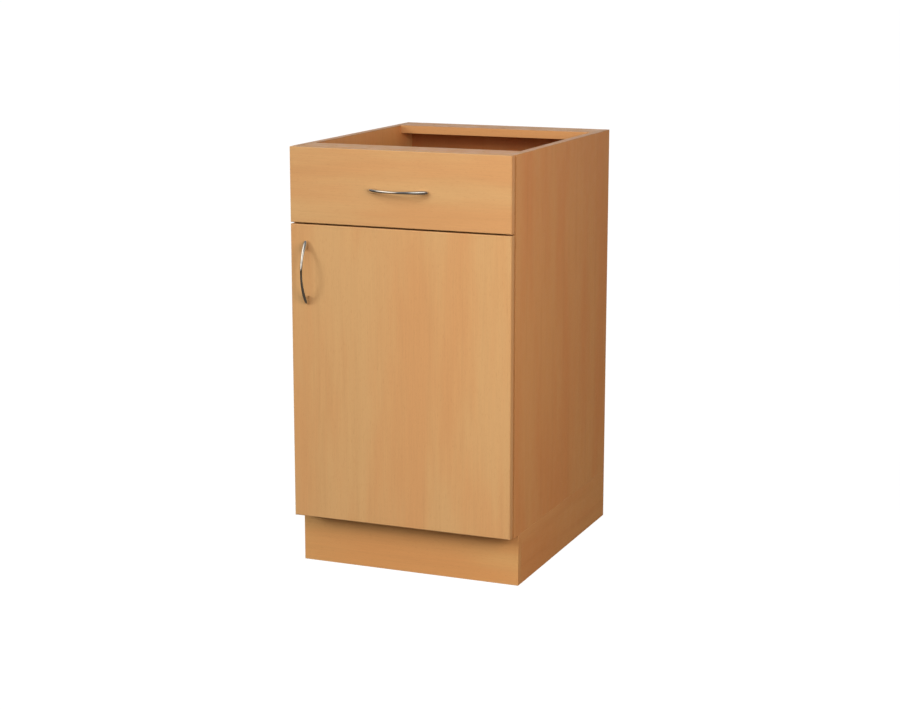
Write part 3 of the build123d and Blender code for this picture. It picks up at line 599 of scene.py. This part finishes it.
def roller(node):
    """A roller turned about X: a closed profile carried round the axis. Tread, rounded shoulders, a
    dished web on both sides and the bore follow each other round the profile."""
    low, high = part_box(node)
    centre = np.array((low + high) / 2)
    half, outer, bore, edge = (high.x - low.x) / 2, (high.z - low.z) / 2, ROLLER_BORE, ROLLER_ROUND
    profile = np.array([(-half + edge, outer), (half - edge, outer),
                        (half - 0.3 * edge, outer - 0.3 * edge), (half, outer - edge),
                        (half, outer - 2.2 * edge), (half - edge, outer - 2.8 * edge),
                        (half - edge, bore + 2.6 * edge), (half, bore + 2.0 * edge), (half, bore)])
    profile = np.concatenate([profile, (profile * (-1, 1))[::-1][:-1]])
    turn = np.linspace(0, 2 * math.pi, 72, endpoint=False)
    x = np.repeat(profile[:, :1], len(turn), axis=1)
    y = profile[:, 1:] * np.cos(turn)
    z = profile[:, 1:] * np.sin(turn)
    points = np.stack([x, y, z], axis=-1).reshape(-1, 3) + centre
    index = np.arange(len(profile) * len(turn)).reshape(len(profile), len(turn))
    below, ahead = np.roll(index, -1, axis=0), np.roll(index, -1, axis=1)
    both = np.roll(below, -1, axis=1)
    quads = np.stack([index, ahead, both, below], axis=-1).reshape(-1, 4).tolist()
    shaded(surface(node + "_finished", points, quads, nylon, node, node), merge=1e-7)


for end in ("cabinet", "drawer"):
    for side in ("left", "right"):
        roller(end + "_roller_" + side)

# ---------------------------------------------------------------- buffers
# Clear soft dots on the backs of the fronts keep them off the carcass and quieten them.
buffer_gel = metal("clear buffer", (0.62, 0.60, 0.54, 1.0), 0.25, 0.40, 0.02, metallic=0.0)
softened("door_buffers", "door", buffer_gel, 0.0006)
softened("drawer_buffers", "drawer", buffer_gel, 0.0006)

# ---------------------------------------------------------------- studio
# Floor and surround are white to the camera alone. For the object the surround is dim, with a glow
# behind and a soft panel and a window in front, which the polished metal shows. A key from the upper
# left, a high front light and a panel light on the right do the lighting.
REACH = 60.0
floor_mesh = bpy.data.meshes.new("floor")
floor_mesh.from_pydata([(-REACH, -REACH, 0), (REACH, -REACH, 0), (REACH, REACH, 0), (-REACH, REACH, 0)],
                       [], [(0, 1, 2, 3)])
floor = bpy.data.objects.new("floor", floor_mesh)
bpy.context.scene.collection.objects.link(floor)
paper = bpy.data.materials.new("pale floor")
paper.use_nodes = True
tree = paper.node_tree
shader = tree.nodes["Principled BSDF"]
shader.inputs["Base Color"].default_value = (0.090, 0.078, 0.064, 1.0)
shader.inputs["Roughness"].default_value = 0.9
shader.inputs["Specular IOR Level"].default_value = 0.0
shader.inputs["Emission Color"].default_value = (1.0, 1.0, 1.0, 1.0)
seen = add(tree, "ShaderNodeLightPath").outputs["Is Camera Ray"]
tree.links.new(times(tree, seen, 0.99), shader.inputs["Emission Strength"])
floor_mesh.materials.append(paper)

world = bpy.data.worlds.new("studio")
bpy.context.scene.world = world
world.use_nodes = True
tree = world.node_tree
direction = add(tree, "ShaderNodeTexCoord").outputs["Generated"]
parts = add(tree, "ShaderNodeSeparateXYZ", {"Vector": direction})
behind = spread(tree, parts.outputs["Y"], 0.65, 0.93)
overhead = spread(tree, parts.outputs["Z"], 0.15, 0.7)
beside = spread(tree, parts.outputs["X"], 0.1, 0.8)
glow = tint(tree, beside, (0.22, 0.215, 0.21, 1.0), (0.28, 0.16, 0.085, 1.0))
glow = tint(tree, behind, glow, (1.15, 1.15, 1.17, 1.0))
glow = tint(tree, overhead, glow, (0.20, 0.20, 0.20, 1.0))
SOFT_PANEL = {"towards": (-0.66, -0.66, 0.36), "rim": 0.84, "core": 0.97,
              "colour": (1.6, 1.45, 1.25, 1.0)}
WINDOW = {"towards": (0.48, -0.80, 0.36), "rim": 0.93, "core": 0.985,
          "colour": (1.3, 1.28, 1.2, 1.0)}
for lobe in (SOFT_PANEL, WINDOW):
    facing = add(tree, "ShaderNodeVectorMath", {0: direction, 1: Vector(lobe["towards"]).normalized()},
                 operation="DOT_PRODUCT").outputs["Value"]
    glow = tint(tree, spread(tree, facing, lobe["rim"], lobe["core"]), glow, lobe["colour"])
seen = add(tree, "ShaderNodeLightPath").outputs["Is Camera Ray"]
glow = tint(tree, seen, glow, (1.0, 1.0, 1.0, 1.0))
tree.links.new(glow, tree.nodes["Background"].inputs["Color"])


def lamp(name, kind, towards, place=(0.0, 0.0, 0.0), **settings):
    """A light that shines along a direction. Polished metal shows the surround, not the light itself."""
    light = bpy.data.lights.new(name, kind)
    for label, value in settings.items():
        setattr(light, label, value)
    holder = bpy.data.objects.new(name, light)
    holder.location = place
    holder.rotation_mode = "QUATERNION"
    holder.rotation_quaternion = Vector(towards).to_track_quat("-Z", "Y")
    holder.visible_glossy = False
    bpy.context.scene.collection.objects.link(holder)


lamp("key", "SUN", (1.25, 1.0, -0.62), energy=1.04, angle=math.radians(14),
     color=(0.97, 1.0, 1.0))
lamp("high front light", "AREA", (0.3, 1.83, -1.74), place=(-0.3, -2.1, 2.2),
     energy=16.4, size=1.1, color=(0.98, 1.0, 1.0))
lamp("side panel light", "AREA", (-1.7, 1.4, -0.65), place=(1.8, -1.5, 1.1),
     energy=33.0, size=1.1, color=(1.0, 0.81, 0.70))

LOOKS_DOWN, TURNED_LEFT = 11.7, 22.46       # degrees
view = bpy.data.cameras.new("camera")
view.sensor_width = 36.0
view.lens = 79.146
camera = bpy.data.objects.new("camera", view)
camera.location = (1.4753, -3.5865, 1.1896)
camera.rotation_euler = (math.radians(90 - LOOKS_DOWN), 0.0, math.radians(TURNED_LEFT))
bpy.context.scene.collection.objects.link(camera)
bpy.context.scene.camera = camera
bpy.context.scene.view_settings.view_transform = "Standard"
bpy.context.scene.view_settings.look = "None"
